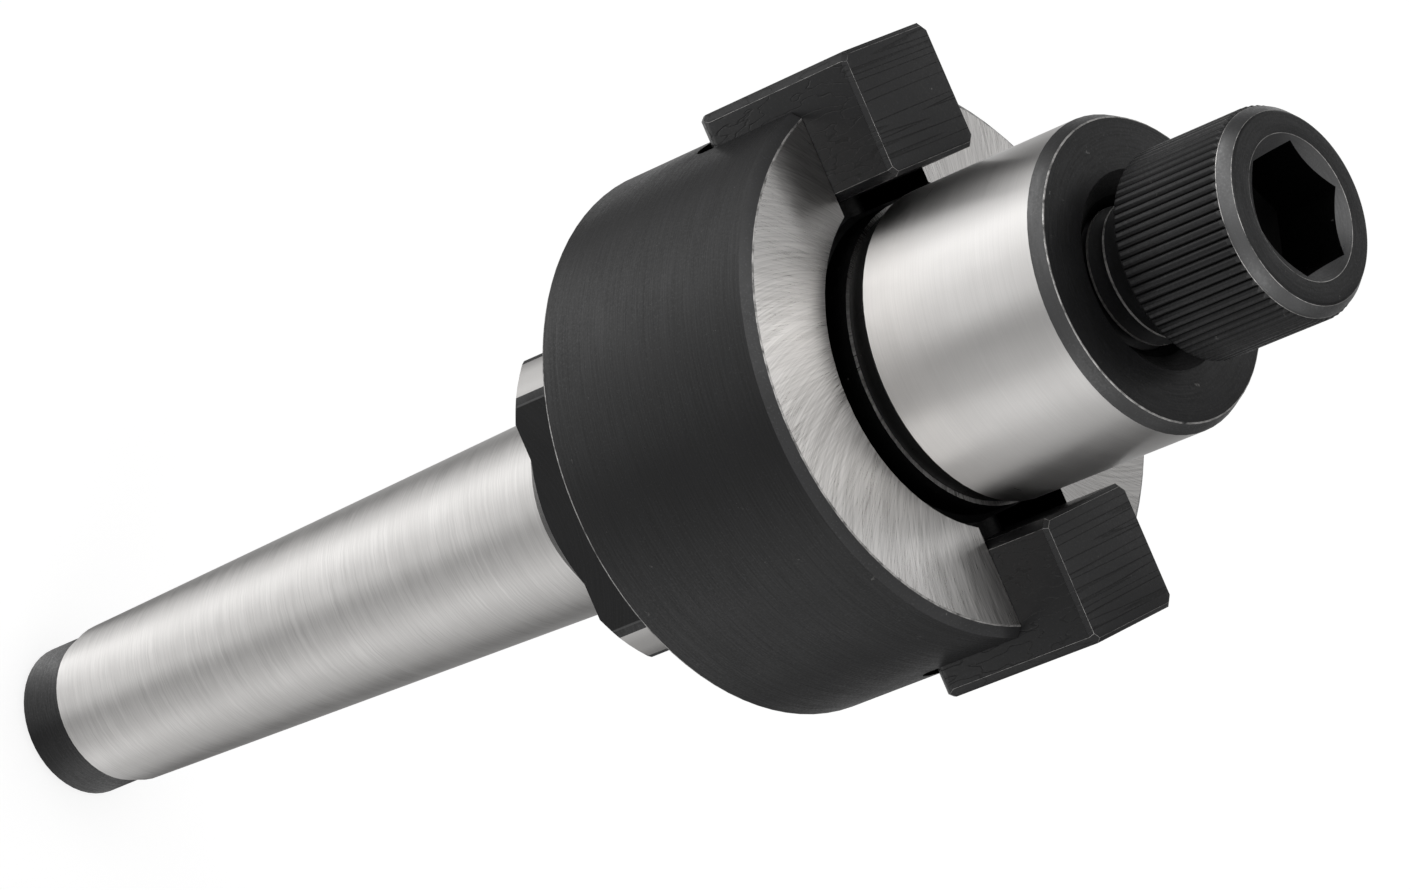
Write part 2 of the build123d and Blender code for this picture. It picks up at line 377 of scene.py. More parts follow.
def turned_marks_group():
    """Fine rings that a lathe or a cylindrical grinder leaves, with slow breaks around the axis."""
    tree, given, result = new_group(
        "Turned Marks",
        "ShaderNodeTree",
        {"Rings per Millimetre": 6.0, "Breaks Around": 2.0},
        {"Marks": "Float"},
    )
    x, y, z, radius = axis_place(tree)
    safe = calc(tree, "MAXIMUM", radius, 1e-5)
    along = calc(tree, "MULTIPLY", calc(tree, "ADD", radius, z), 1 / MM)
    rings = calc(tree, "MULTIPLY", along, given["Rings per Millimetre"])
    around_x = calc(tree, "MULTIPLY", calc(tree, "DIVIDE", x, safe), given["Breaks Around"])
    around_y = calc(tree, "MULTIPLY", calc(tree, "DIVIDE", y, safe), given["Breaks Around"])
    spot = add(tree, "ShaderNodeCombineXYZ", {0: rings, 1: around_x, 2: around_y}).outputs[0]
    tree.links.new(noise_of(tree, spot, detail=3.0, roughness=0.6), result["Marks"])
    return tree


def radial_marks_group():
    """Scratches that fan out across a flat ring: two slanted sets, and thin dark lines."""
    tree, given, result = new_group(
        "Radial Marks",
        "ShaderNodeTree",
        {"Scratches Around": 130.0, "Slant": -0.27, "Second Slant": -0.12},
        {"Marks": "Float"},
    )
    x, y, _, radius = axis_place(tree)
    marks = []
    for slant, size in SCRATCHES:
        reach = calc(tree, "MULTIPLY", radius, 1 / SLANT_REACH)
        turn = calc(tree, "MULTIPLY", reach, given[slant])
        angle = calc(tree, "ADD", calc(tree, "ARCTAN2", y, x), turn)
        ring_x = calc(tree, "MULTIPLY", calc(tree, "COSINE", angle), given["Scratches Around"])
        ring_y = calc(tree, "MULTIPLY", calc(tree, "SINE", angle), given["Scratches Around"])
        out = calc(tree, "MULTIPLY", radius, 1 / size)
        spot = add(tree, "ShaderNodeCombineXYZ", {0: ring_x, 1: ring_y, 2: out}).outputs[0]
        marks.append(noise_of(tree, spot, detail=1.0))
    first, second = marks
    from_line = calc(tree, "ABSOLUTE", calc(tree, "SUBTRACT", second, LINE_LEVEL))
    line = scaled(tree, scaled(tree, from_line, 0.0, LINE_WIDTH), 0.0, 1.0, LINE_SHADE, 1.0)
    both = calc(tree, "ADD", first, calc(tree, "MULTIPLY", second, 0.5))
    both = calc(tree, "MULTIPLY", both, 0.7)
    tree.links.new(calc(tree, "MULTIPLY", both, line), result["Marks"])
    return tree


def bands_group(name, levels):
    """How bright the studio looks in a reflection, by the direction around the arbor."""
    inputs, outputs = {"Direction": "Vector"}, {"Level": "Float"}
    tree, given, result = new_group(name, "ShaderNodeTree", inputs, outputs)
    x, y, _ = add(tree, "ShaderNodeSeparateXYZ", {0: given["Direction"]}).outputs
    turn = calc(tree, "DIVIDE", calc(tree, "ARCTAN2", y, x), 2 * pi)
    around = calc(tree, "FRACT", calc(tree, "ADD", turn, 1.0))
    ramp = add(tree, "ShaderNodeValToRGB", {0: around})
    ramp.color_ramp.interpolation = "EASE"
    stops = ramp.color_ramp.elements
    for degrees, level in levels:
        stop = stops.new(degrees / 360)
        stop.color = (level, level, level, 1.0)
    stops.remove(stops[0])
    stops.remove(stops[len(stops) - 1])
    tree.links.new(ramp.outputs[0], result["Level"])
    return tree


def mottle_group():
    """Cloudy variation and fine specks of a blackened or worn surface."""
    tree, given, result = new_group(
        "Mottle",
        "ShaderNodeTree",
        {"Cloud Size": 6.0 * MM, "Speck Size": 0.35 * MM},
        {"Clouds": "Float", "Specks": "Float"},
    )
    place = object_place(tree)
    clouds = noise_of(tree, place, calc(tree, "DIVIDE", 1.0, given["Cloud Size"]), detail=4.0)
    specks = noise_of(tree, place, calc(tree, "DIVIDE", 1.0, given["Speck Size"]))
    tree.links.new(clouds, result["Clouds"])
    tree.links.new(specks, result["Specks"])
    return tree


def edge_wear_group():
    """Worn spots along an edge, which also carry a painted highlight, from a mask of the edge and
    two scales of noise.
    """
    tree, given, result = new_group(
        "Edge Wear",
        "ShaderNodeTree",
        {"Edge": 1.0, "Amount": 0.5, "Patch Size": 1.2 * MM},
        {"Wear": "Float"},
    )
    patch_scale = calc(tree, "DIVIDE", 1.0, given["Patch Size"])
    patches = noise_of(tree, object_place(tree), patch_scale, detail=5.0, roughness=0.7)
    level = calc(tree, "SUBTRACT", 0.8, calc(tree, "MULTIPLY", given["Amount"], 0.5))
    bare = scaled(tree, calc(tree, "SUBTRACT", patches, level), -0.12, 0.12)
    tree.links.new(calc(tree, "MULTIPLY", bare, given["Edge"]), result["Wear"])
    return tree


# Shared effects and finishes by name, which the first step makes
GROUPS = {}
FINISHES = {}


def placed(tree, name, inputs=None):
    """Put one of the shared effects into a material; returns its outputs."""
    return add(tree, "ShaderNodeGroup", inputs, node_tree=GROUPS[name]).outputs


def new_material(name, tint):
    """Material with a Principled shader; returns the material, its tree and the shader."""
    material = bpy.data.materials.new(name)
    material.use_nodes = True
    material.diffuse_color = (*tint, 1.0)
    tree = material.node_tree
    return material, tree, tree.nodes["Principled BSDF"]


def rgba(colour, factor=1.0):
    """Colour with full alpha, made lighter or darker by a factor."""
    return (*[min(1.0, c * factor) for c in colour], 1.0)


def ground_steel(name, colour, roughness, rings=7.0, depth=1.0, drawn=0.85, flat=False, slant=0.0):
    """Ground steel: bright, its reflections drawn out across its fine marks."""
    material, tree, shader = new_material(name, colour)
    rings = placed(tree, "turned", {"Rings per Millimetre": rings, "Breaks Around": 1.5})["Marks"]
    clouds = placed(tree, "mottle", GROUND_SPOTS)["Clouds"]
    marks = placed(tree, "radial")["Marks"] if flat else rings
    dark, light = rgba(colour, 1 - 0.14 * depth), rgba(colour, 1 + 0.1 * depth)
    tint = blend(tree, spread(tree, marks), dark, light)
    tint = blend(tree, scaled(tree, clouds, 0.35, 0.7, 0.0, 0.35), tint, rgba(colour, 0.8))
    rough = calc(tree, "ADD", spread(tree, marks, *roughness), spread(tree, clouds, -0.03, 0.04))
    relief = {"Height": marks, "Strength": 0.12 * depth, "Distance": GROUND_RELIEF}
    finish = {
        "Base Color": tint,
        "Metallic": 1.0,
        "Roughness": rough,
        "Anisotropic": drawn,
        "Anisotropic Rotation": 0.25 + slant / (2 * pi),
        "Tangent": add(tree, "ShaderNodeTangent", direction_type="RADIAL", axis="Z").outputs[0],
        "Normal": add(tree, "ShaderNodeBump", relief).outputs[0],
    }
    fill(tree, shader, finish)
    return material


def milled_marks(tree):
    """Dark furrows that a milling cutter leaves, straight and broken."""
    mapping = {"Vector": object_place(tree), "Rotation": FURROW_TURN, "Scale": FURROWS}
    noise = noise_of(tree, add(tree, "ShaderNodeMapping", mapping).outputs[0], detail=1.5)
    furrow = calc(tree, "ABSOLUTE", calc(tree, "SUBTRACT", noise, 0.5))
    return scaled(tree, furrow, 0.004, 0.02, 0.1, 0.6)


def black_steel(name, colour, rubbed_highlight, worn=0.0, milled=False, gloss=0.32, grooves=None):
    """Blackened steel: satin, with the marks of its machining and worn spots, pale partly as a
    painted highlight.

    The grooves are a pair of radii: at the first a knurl is painted dark, as the shade in its
    grooves, and from the second it is as light as the rest.
    """
    material, tree, shader = new_material(name, colour)
    clouds, specks = placed(tree, "mottle", BLACK_SPOTS)
    if milled:
        marks = milled_marks(tree)
    else:
        marks = placed(tree, "turned", {"Rings per Millimetre": 5.0, "Breaks Around": 3.0})["Marks"]
    tint = blend(tree, scaled(tree, marks, 0.35, 0.7), rgba(colour, 0.4), rgba(colour, 1.4))
    tint = blend(tree, scaled(tree, specks, 0.58, 0.72, 0.0, 0.6), tint, rgba(colour, 3.0))
    # Worn spots take the pale metallic colour, partly wear and partly a painted highlight
    wear = placed(tree, "wear", {"Edge": 1.0, "Amount": worn})["Wear"]
    tint = blend(tree, wear, tint, rgba(rubbed_highlight))
    # Painted shade: the knurl darkens towards the bottoms of its grooves
    if grooves:
        radius = axis_place(tree)[3]
        tint = blend(tree, scaled(tree, radius, *grooves), rgba(colour, 0.1), tint)
    dots = scaled(tree, specks, 0.35, 0.65, 0.07, -0.07)
    uneven = calc(tree, "ADD", spread(tree, clouds, -0.04, 0.05), dots)
    depth = MILLED_RELIEF if milled else BLACK_RELIEF
    relief = {"Height": marks, "Strength": 0.6, "Distance": depth}
    finish = {
        "Base Color": tint,
        "Metallic": calc(tree, "MULTIPLY", wear, 0.8),
        "Roughness": calc(tree, "ADD", spread(tree, marks, 0.46, 0.34), uneven),
        "Specular IOR Level": gloss,
        "Normal": add(tree, "ShaderNodeBump", relief).outputs[0],
    }
    fill(tree, shader, finish)
    return material


class ARBOR_OT_finishes(bpy.types.Operator):
    """Make the steel finishes and the effects that they share"""

    bl_idname = "arbor.finishes"
    bl_label = "Steel Finishes"

    def execute(self, context):
        steel = context.scene.arbor_steel
        screw = context.scene.arbor_screw
        GROUPS.update(
            turned=turned_marks_group(),
            radial=radial_marks_group(),
            mottle=mottle_group(),
            wear=edge_wear_group(),
            floor_bands=bands_group("Floor Bands", FLOOR_LEVELS),
            room_bands=bands_group("Room Bands", ROOM_LEVELS),
        )

        # Ground steel made darker for the collar's corners, a painted shade
        corner = rgba(steel.ground, PAINTED_CORNER_SHADE)[:3]
        pilot = {"roughness": (0.3, 0.34), "rings": 14.0, "depth": 0.4}
        face = {"roughness": (0.26, 0.36), "depth": 2.0, "flat": True, "slant": GRAIN_SLANT}
        FINISHES.update(
            ground=ground_steel("ground_steel_turned", steel.ground, (0.36, 0.46), drawn=0.6),
            corner=ground_steel("ground_steel_corner", corner, (0.4, 0.5), 14.0, 0.4, 0.3),
            pilot=ground_steel("ground_steel_pilot", steel.ground, **pilot),
            face=ground_steel("ground_steel_face", steel.ground, **face),
        )

        black, rubbed_highlight = steel.blackened, steel.rubbed_highlight
        # Blackened steel made paler for the chamfers and the socket's mouth, a painted highlight
        chamfer = rgba(black, PAINTED_HIGHLIGHT)[:3]
        # Radii between which the knurl's grooves take painted shade
        knurl = (SCREW_HIGH.x - screw.ridge_depth, SCREW_HIGH.x - 0.4 * screw.ridge_depth)
        FINISHES.update(
            black=black_steel("black_steel_turned", black, rubbed_highlight),
            edge=black_steel("black_steel_chamfer_highlight", chamfer, rubbed_highlight, gloss=0.45),
            # Worn finish: pale metallic spots, partly wear and partly a painted highlight
            worn=black_steel("black_steel_worn_highlight", black, rubbed_highlight, worn=0.7, gloss=0.5),
            rim=black_steel("black_steel_rim", black, rubbed_highlight, gloss=0.65),
            mouth=black_steel("black_steel_mouth_highlight", chamfer, rubbed_highlight, gloss=1.0),
            milled=black_steel("black_steel_milled", black, rubbed_highlight, milled=True, gloss=0.3),
            # Blackened steel far darker, as painted shade in the recesses
            deep=black_steel("black_steel_deep", steel.deep, rubbed_highlight, gloss=0.12),
            knurl=black_steel("black_steel_knurl", black, rubbed_highlight, grooves=knurl),
        )
        return {"FINISHED"}


def plain_object(name, mesh):
    """Object at the origin for a finished mesh."""
    made = bpy.data.objects.new(name, mesh)
    bpy.context.scene.collection.objects.link(made)
    return made


@contextmanager
def edited(mesh):
    """Open a mesh for editing, and write it back with smooth faces between its creases."""
    shape = bmesh.new()
    shape.from_mesh(mesh)
    yield shape
    for face in shape.faces:
        face.smooth = True
    for edge in shape.edges:
        edge.smooth = len(edge.link_faces) == 2 and edge.calc_face_angle(0.0) < CREASE
    shape.to_mesh(mesh)
    shape.free()


def merged_copy(node, name):
    """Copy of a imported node's mesh with its loose triangles joined."""
    mesh = bpy.data.meshes.new(name)
    shape = bmesh.new()
    shape.from_mesh(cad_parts[node].data)
    bmesh.ops.remove_doubles(shape, verts=shape.verts, dist=1e-7)
    bmesh.ops.dissolve_limit(shape, angle_limit=FLAT, verts=[], edges=shape.edges)
    shape.to_mesh(mesh)
    shape.free()
    return mesh


def rub(shape, edges, width, slot):
    """Round edges off by a width and give the narrow faces a material slot."""
    bmesh.ops.bevel(
        shape,
        geom=edges,
        offset=width,
        segments=2,
        profile=0.5,
        affect="EDGES",
        clamp_overlap=True,
        material=slot,
    )


def is_square(normal):
    """Whether a face looks straight along the X or the Y axis."""
    return max(abs(normal.x), abs(normal.y)) > SQUARE


def body_zone(body, centre, normal):
    """Finish of one face of the body, from its place and its direction."""
    radius = hypot(centre.x, centre.y)
    outward = (centre.x * normal.x + centre.y * normal.y) / max(radius, 1e-6)
    if body.plain_end < centre.z < body.cone_end and outward > STRAIGHT:
        return "ground"
    if body.cone_end < centre.z < body.flange_rear:
        if abs(normal.z) > ACROSS:
            return "black"
        # The collar's ground corners take the darker copy of the ground steel, a painted shade
        if outward > SQUARE and radius > body.collar_radius - REACH:
            return "corner"
        # The collar's chamfers take the paler chamfer finish, a painted highlight
        return "black" if is_square(normal) else "edge"
    step = abs(centre.z - body.face - body.groove_step) < NEAR
    if (step or abs(centre.z - body.face) < NEAR) and normal.z > STRAIGHT:
        return "face"
    pilot = body.face + body.pilot_start < centre.z < BODY_HIGH.z - body.pilot_lead
    if pilot and outward > STRAIGHT and radius > body.pilot_radius - REACH:
        return "pilot"
    # Sloping faces beyond the undercut take the paler chamfer finish, a painted highlight
    sloping = outward > ACROSS and ACROSS < abs(normal.z) < STRAIGHT
    if sloping and radius > body.pilot_radius - CLEAR:
        return "rim" if radius < body.groove_radius else "edge"
    # The undercut, the key slots and the bore take the painted shade finish, dark as the shade that
    # falls in them
    undercut = centre.z < body.face + body.pilot_start and radius < body.groove_radius + REACH
    slot = abs(centre.y) < KEY_HIGH.y + REACH and radius < body.flange_radius - CLEAR
    slot = slot and KEY_LOW.z - 2 * CLEAR < centre.z < body.face - NEAR
    hollow = outward < -ACROSS and radius < body.pilot_radius / 2
    if centre.z > body.flange_rear and (undercut or slot or hollow):
        return "deep"
    return "black"


def edge_ends(edge):
    """Distance from the axis and height of both ends of an edge."""
    return [(hypot(end.co.x, end.co.y), end.co.z) for end in edge.verts]


def on_rim(body, edge):
    """Whether an edge runs around the flange's face or its rear, or around the pilot's front."""
    (radius, height), (far_radius, far_height) = edge_ends(edge)
    level = max(abs(far_radius - radius), abs(far_height - height)) < NEAR
    front = abs(height - body.face) < NEAR and radius > body.groove_radius + CLEAR
    rear = abs(height - body.flange_rear) < CLEAR and radius > body.collar_radius + CLEAR
    nose = abs(height - BODY_HIGH.z) < NEAR and radius > body.pilot_radius - CLEAR
    return edge.calc_face_angle(0.0) > CREASE and level and (front or rear or nose)


def beside_flat(body, edge):
    """Whether an edge runs along one of the flats of the square collar."""
    (radius, height), (far_radius, far_height) = edge_ends(edge)
    low, high = sorted((height, far_height))
    on_collar = body.cone_end < low and high < body.flange_rear + NEAR
    upright = abs(radius - far_radius) < NEAR < high - low
    flat = any(is_square(face.normal) for face in edge.link_faces)
    return edge.calc_face_angle(0.0) > CREASE / 2 and on_collar and upright and flat


class ARBOR_OT_body(bpy.types.Operator):
    """Finish the arbor's body, with its ground and its blackened surfaces"""

    bl_idname = "arbor.body"
    bl_label = "Arbor Body"

    def execute(self, context):
        settings = context.scene.arbor_body
        mesh = merged_copy("arbor_body", "arbor_body_finished")
        for finish in BODY_SLOTS:
            mesh.materials.append(FINISHES[finish])
        with edited(mesh) as shape:
            for face in shape.faces:
                finish = body_zone(settings, face.calc_center_median(), face.normal)
                face.material_index = BODY_SLOTS.index(finish)
            # Thin bevels along the rims, in the worn finish that is partly a painted highlight, and
            # along the collar's flats, in the paler mouth finish, a painted highlight
            for is_line, finish in ((on_rim, "worn"), (beside_flat, "mouth")):
                lines = [edge for edge in shape.edges if is_line(settings, edge)]
                rub(shape, lines, settings.rim_line, BODY_SLOTS.index(finish))
        body = plain_object("arbor_body_finished", mesh)
        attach(body, "arbor")
        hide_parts("arbor_body")
        return {"FINISHED"}


def evaluated_mesh(made, name):
    """Plain mesh of an object with its modifiers worked in; the object itself is taken away."""
    graph = bpy.context.evaluated_depsgraph_get()
    mesh = bpy.data.meshes.new_from_object(made.evaluated_get(graph))
    mesh.name = name
    bpy.data.objects.remove(made)
    return mesh


def key_outline(settings, side, inset):
    """Corners of a drive key's section, cut at the long edges and drawn in by an inset."""
    middle = side * (KEY_LOW.x + KEY_HIGH.x) / 2
    half_x = (KEY_HIGH.x - KEY_LOW.x) / 2 + NEAR - inset
    half_y = KEY_HIGH.y + NEAR - inset
    cut = settings.corner_cut - inset * (2 - sqrt(2))
    corners = []
    for sx, sy in ((1, 1), (-1, 1), (-1, -1), (1, -1)):
        pair = [(sx * half_x, sy * (half_y - cut)), (sx * (half_x - cut), sy * half_y)]
        corners += pair if sx == sy else pair[::-1]
    return [(middle + x, y) for x, y in corners]


def key_cutter(settings, side):
    """Prism with cut corners and a chamfered front, a hair larger than the key that it trims."""
    top = KEY_HIGH.z + NEAR
    levels = ((KEY_LOW.z - CLEAR, 0.0), (top - settings.front_cut, 0.0), (top, settings.front_cut))
    shape = bmesh.new()
    rings = []
    for height, inset in levels:
        outline = key_outline(settings, side, inset)
        rings.append([shape.verts.new((x, y, height)) for x, y in outline])
    for low, high in zip(rings, rings[1:]):
        for i in range(len(low)):
            j = (i + 1) % len(low)
            shape.faces.new((low[i], low[j], high[j], high[i]))
    shape.faces.new(rings[0][::-1])
    shape.faces.new(rings[-1])
    bmesh.ops.recalc_face_normals(shape, faces=shape.faces)
    mesh = bpy.data.meshes.new("key_cutter")
    shape.to_mesh(mesh)
    shape.free()
    return mesh


def on_key_outside(edge):
    """Whether an edge of a drive key is one of its straight outer edges."""
    one, other = (end.co for end in edge.verts)
    middle = (one + other) / 2
    if middle.z > KEY_HIGH.z - KEY_BORDER and abs(one.z - other.z) < NEAR:
        return any(face.normal.z > STRAIGHT for face in edge.link_faces)
    return abs(middle.y) > KEY_HIGH.y - KEY_BORDER


class ARBOR_OT_keys(bpy.types.Operator):
    """Finish the two drive keys and the screws that hold them"""

    bl_idname = "arbor.keys"
    bl_label = "Drive Keys"

    def execute(self, context):
        settings = context.scene.arbor_keys
        for side, name in ((1, "drive_key_a"), (-1, "drive_key_b")):
            rough = plain_object(f"{name}_rough", merged_copy(name, f"{name}_rough"))
            cutter = plain_object(f"{name}_cutter", key_cutter(settings, side))
            cut = rough.modifiers.new("corners", "BOOLEAN")
            cut.object = cutter
            cut.operation = "INTERSECT"
            cut.solver = "EXACT"
            mesh = evaluated_mesh(rough, f"{name}_finished")
            bpy.data.objects.remove(cutter)
            mesh.materials.clear()
            mesh.materials.append(FINISHES["milled"])
            mesh.materials.append(FINISHES["worn"])
            with edited(mesh) as shape:
                bmesh.ops.dissolve_limit(shape, angle_limit=FLAT, verts=[], edges=shape.edges)
                # Thin bevels along the key's outer edges, in the worn finish, pale partly as a
                # painted highlight
                creases = [edge for edge in shape.edges if edge.calc_face_angle(0.0) > CREASE]
                outer = [edge for edge in creases if on_key_outside(edge)]
                rub(shape, outer, settings.worn_edge / 2, 1)
            key = plain_object(f"{name}_finished", mesh)
            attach(key, "arbor")
            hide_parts(name)
        for name in ("key_screw_a", "key_screw_b"):
            mesh = merged_copy(name, f"{name}_finished")
            mesh.materials.append(FINISHES["rim"])
            mesh.materials.append(FINISHES["deep"])
            with edited(mesh) as shape:
                # Faces towards the key's inner end take the painted shade finish
                for face in shape.faces:
                    inner = abs(face.calc_center_median().x) < KEY_LOW.x + 2 * CLEAR
                    face.material_index = int(inner)
            screw = plain_object(f"{name}_finished", mesh)
            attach(screw, "arbor")
            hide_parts(name)
        return {"FINISHED"}


def core_radius(screw):
    """Radius of the thread's root."""
    return screw.radius - THREAD_DEPTH * screw.pitch


def thread_high(screw):
    """Height at which the thread has run out under the head."""
    return SCREW_HIGH.z - screw.head_height - THREAD_GAP * screw.pitch


def screw_rows(screw):
    """Rows of the screw's half section: radius, height, zone and what is worked into it."""
    low, high = SCREW_LOW.z, SCREW_HIGH.z
    rear = high - screw.head_height
    core = core_radius(screw)
    head = SCREW_HIGH.x
    mouth = screw.across_flats / 2 + screw.mouth_rim
    rows = [(0.0, low, "thread", "")]
    turns = ceil((thread_high(screw) - low) / screw.pitch) + 1
    for turn in range(turns):
        for share, depth, zone in THREAD_FORM:
            reach = core + depth * (screw.radius - core)
            rows.append((reach, low + screw.pitch * (turn - 1 + share), zone, "thread"))
    rows.append((screw.radius, low + screw.pitch * (turns - 1), "thread", "thread"))
    forms = [(NECK_FORM, core, rear), (REAR_FORM, head, rear)]
    forms += [(FRONT_FORM, head, high), (LIP_FORM, mouth, high)]
    for form, radius, height in forms:
        for beyond, above, zone in form:
            work = "knurl" if zone == "knurl" else ""
            rows.append((radius + beyond * MM, height + above * MM, zone, work))
    lip = rows[-1][1]
    bottom = high - screw.socket_depth
    rows.append((mouth, lip, "socket", "mouth"))
    rows.append((mouth, bottom, "socket", "flats"))
    rows.append((0.0, bottom - DRILLED_END, "socket", ""))
    return rows


def screw_profile(screw):
    """Chain of the screw's rows, with their zones and marks for what is worked into them."""
    radii, heights, zones, works = zip(*screw_rows(screw))
    mesh = bpy.data.meshes.new("retaining_screw_profile")
    links = [(i, i + 1) for i in range(len(radii) - 1)]
    mesh.from_pydata([(radius, 0.0, height) for radius, height in zip(radii, heights)], links, [])
    layer = mesh.attributes.new("zone", "INT", "EDGE")
    layer.data.foreach_set("value", [SCREW_ZONES.index(zone) for zone in zones[:-1]])
    for name in ("knurl", "thread", "flats", "mouth"):
        kinds = ("flats", "mouth") if name == "flats" else (name,)
        layer = mesh.attributes.new(name, "FLOAT", "POINT")
        layer.data.foreach_set("value", [float(work in kinds) for work in works])
    return mesh


def field(tree, name, data_type="FLOAT"):
    """Named attribute as a field."""
    made = add(tree, "GeometryNodeInputNamedAttribute", {"Name": name}, data_type=data_type)
    return next(socket for socket in made.outputs if socket.enabled and socket.name == "Attribute")


def stored(tree, geometry, name, value, data_type, domain):
    """Geometry with a value kept as a named attribute."""
    inputs = {"Geometry": geometry, "Name": name}
    made = add(tree, "GeometryNodeStoreNamedAttribute", inputs, data_type=data_type, domain=domain)
    tree.links.new(value, next(s for s in made.inputs if s.enabled and s.name == "Value"))
    return made.outputs[0]


def sampled(tree, profile, value, row, data_type="FLOAT", domain="POINT"):
    """Value of the profile at a row."""
    made = add(tree, "GeometryNodeSampleIndex", data_type=data_type, domain=domain)
    for name, source in (("Geometry", profile), ("Value", value), ("Index", row)):
        socket = next(s for s in made.inputs if s.enabled and s.name == name)
        tree.links.new(source, socket)
    return next(socket for socket in made.outputs if socket.enabled)


def chosen(tree, factor, plain, worked):
    """Plain where the factor is 0 and worked where it is 1."""
    change = calc(tree, "MULTIPLY", calc(tree, "SUBTRACT", worked, plain), factor)
    return calc(tree, "ADD", plain, change)


